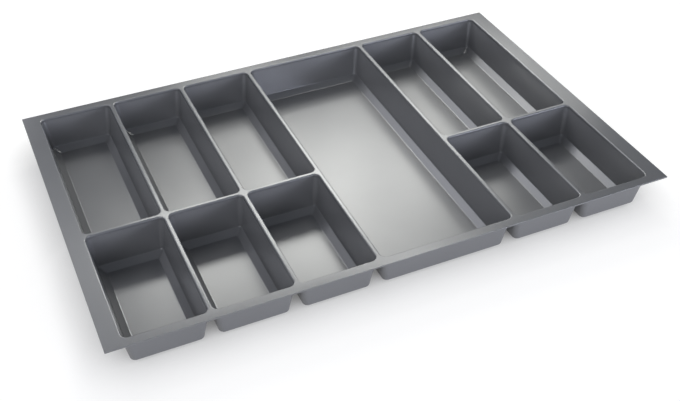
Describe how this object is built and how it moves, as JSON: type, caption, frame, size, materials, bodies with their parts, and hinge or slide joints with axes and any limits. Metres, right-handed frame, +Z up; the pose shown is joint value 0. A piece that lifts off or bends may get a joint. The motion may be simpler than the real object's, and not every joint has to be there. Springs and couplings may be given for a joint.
{
  "type": "cutlery tray",
  "caption": "Formed plastic drawer insert: a flat rim with rolled mouths over short and long drafted pockets, beside a wide pocket of full length.",
  "frame": {"origin": "under the middle of the rim, on the ground that the pockets stand on", "axes": "+X to the right along the tray's width, +Y to the back of the drawer, +Z up"},
  "size_m": [0.726, 0.474, 0.052],
  "materials": {
    "tray_plastic": "silver grey satin with a fine grain"
  },
  "bodies": {
    "root": {"rim": "tray_plastic", "left_front_pocket_1": "tray_plastic", "left_back_pocket_1": "tray_plastic", "left_front_pocket_2": "tray_plastic", "left_back_pocket_2": "tray_plastic", "left_front_pocket_3": "tray_plastic", "left_back_pocket_3": "tray_plastic", "centre_pocket": "tray_plastic", "right_front_pocket_1": "tray_plastic", "right_back_pocket_1": "tray_plastic", "right_front_pocket_2": "tray_plastic", "right_back_pocket_2": "tray_plastic"}
  },
  "joints": []
}
